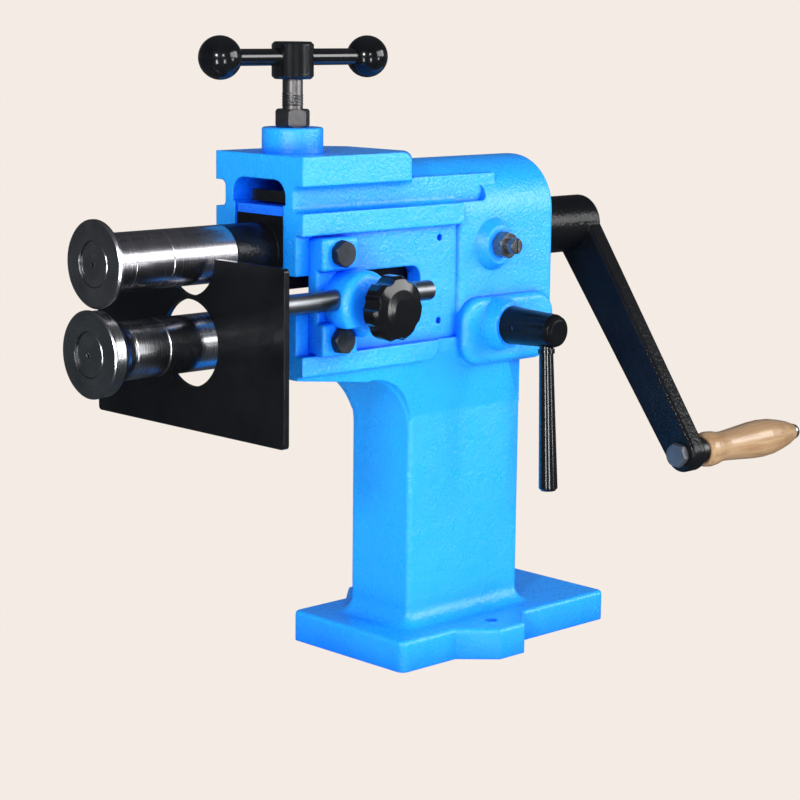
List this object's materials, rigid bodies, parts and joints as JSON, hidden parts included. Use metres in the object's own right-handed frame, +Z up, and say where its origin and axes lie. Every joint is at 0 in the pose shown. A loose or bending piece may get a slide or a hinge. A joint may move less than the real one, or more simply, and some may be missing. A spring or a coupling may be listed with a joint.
{
  "type": "bead roller",
  "caption": "Hand cranked bench bead roller with geared roll shafts, a pressure screw with a T handle, a depth fence and a side lever that shifts the lower roll.",
  "frame": {"origin": "point of the base's underside midway between the two bolt holes in its ears, below the column", "axes": "+Z up, -Y towards the rolls, +Y towards the crank, +X towards the clamp knob and the shift lever"},
  "size_m": [0.2434, 0.6273, 0.4626],
  "materials": {
    "cast_blue": "gloss enamel on cast iron",
    "black_enamel": "gloss enamel",
    "machined_steel": "turned, semi bright",
    "dark_steel": "black oxide, satin",
    "bronze": "satin, oiled",
    "black_plastic": "gloss",
    "varnished_wood": "clear varnish"
  },
  "bodies": {
    "frame": {"frame_casting": "cast_blue", "rear_cover": "cast_blue", "cover_screws": "dark_steel", "pivot_screws": "dark_steel", "pivot_nuts": "dark_steel", "lower_bearing_sleeve": "black_enamel", "lower_front_bush": "bronze", "fence_bracket": "cast_blue", "bracket_bolts": "dark_steel", "return_spring": "dark_steel"},
    "rocker": {"rocker_arm": "black_enamel", "pressure_plate": "cast_blue", "plate_screws": "dark_steel", "upper_front_bush": "bronze", "upper_rear_bush": "bronze"},
    "upper_train": {"upper_shaft": "machined_steel", "upper_gear": "dark_steel", "upper_gear_key": "dark_steel", "upper_shaft_rings": "machined_steel", "upper_roll": "machined_steel", "upper_roll_key": "dark_steel", "upper_spacer": "machined_steel", "upper_collar": "machined_steel", "upper_roll_screw": "machined_steel", "crank_arm": "black_enamel", "crank_key": "dark_steel", "crank_screw": "dark_steel", "crank_washer": "dark_steel", "grip_bolt": "dark_steel", "grip_nut": "dark_steel", "grip_cap": "machined_steel"},
    "grip": {"wooden_grip": "varnished_wood"},
    "sliding_sleeve": {"shift_sleeve": "bronze"},
    "lower_train": {"lower_shaft": "machined_steel", "lower_gear": "dark_steel", "lower_gear_key": "dark_steel", "lower_shaft_rings": "machined_steel", "lower_roll": "machined_steel", "lower_roll_key": "dark_steel", "lower_spacer": "machined_steel", "lower_collar": "machined_steel", "lower_roll_screw": "machined_steel"},
    "shift_lever": {"eccentric_shaft": "dark_steel", "lever_hub": "black_plastic", "lever_hub_pin": "dark_steel", "lever_rod": "dark_steel", "lever_rod_nut": "dark_steel"},
    "pad": {"thrust_pad": "dark_steel"},
    "pressure_screw": {"t_screw": "dark_steel", "t_handle_hub": "dark_steel", "t_handle_pin": "dark_steel", "t_handle_bar": "dark_steel", "t_handle_balls": "black_plastic"},
    "nut": {"lock_nut": "dark_steel"},
    "fence": {"fence_plate": "black_enamel", "guide_bar": "machined_steel"},
    "knob": {"clamp_knob": "black_plastic", "knob_stud": "dark_steel"}
  },
  "joints": [
    {"name": "screw_turn", "type": "hinge", "parent": "pad", "child": "pressure_screw", "pos_m": [0, -0.1488, 0.4], "axis": [0, 0, 1], "range_deg": [0, 1080]},
    {"name": "screw_lift", "type": "slide", "parent": "frame", "child": "pad", "axis": [0, 0, 1], "range_m": [0, 0.00605]},
    {"name": "rocker_tilt", "type": "hinge", "parent": "frame", "child": "rocker", "pos_m": [0, 0.0145, 0.3089], "axis": [-1, 0, 0], "range_deg": [0, 2.12], "deforming": ["return_spring"]},
    {"name": "crank_turn", "type": "hinge", "parent": "rocker", "child": "upper_train", "pos_m": [0, 0, 0.3134], "axis": [0, 1, 0], "continuous": true},
    {"name": "grip_spin", "type": "hinge", "parent": "upper_train", "child": "grip", "pos_m": [0.12265, 0.22, 0.14208], "axis": [0, 1, 0], "continuous": true},
    {"name": "lower_shift", "type": "slide", "parent": "frame", "child": "sliding_sleeve", "axis": [0, 1, 0], "range_m": [-0.0024, 0.0024]},
    {"name": "lower_turn", "type": "hinge", "parent": "sliding_sleeve", "child": "lower_train", "pos_m": [0, 0, 0.2534], "axis": [0, 1, 0], "continuous": true},
    {"name": "lever_turn", "type": "hinge", "parent": "frame", "child": "shift_lever", "pos_m": [0.06, 0.015, 0.2495], "axis": [1, 0, 0], "range_deg": [-35, 35]},
    {"name": "lock_nut_turn", "type": "hinge", "parent": "frame", "child": "nut", "pos_m": [0, -0.1488, 0.405], "axis": [0, 0, 1], "range_deg": [0, 90]},
    {"name": "fence_slide", "type": "slide", "parent": "frame", "child": "fence", "axis": [0, 1, 0], "range_m": [-0.06, 0.03]},
    {"name": "knob_turn", "type": "hinge", "parent": "frame", "child": "knob", "pos_m": [0.09, -0.14, 0.2785], "axis": [1, 0, 0], "range_deg": [0, 180]}
  ],
  "couplings": [
    {"joint": "screw_lift", "follows": "screw_turn", "m_per_rad": 0.00031831},
    {"joint": "rocker_tilt", "follows": "screw_turn", "ratio": 0.0019484},
    {"joint": "lower_turn", "follows": "crank_turn", "ratio": -1},
    {"joint": "lower_shift", "follows": "lever_turn", "m_per_rad": -0.0039}
  ]
}
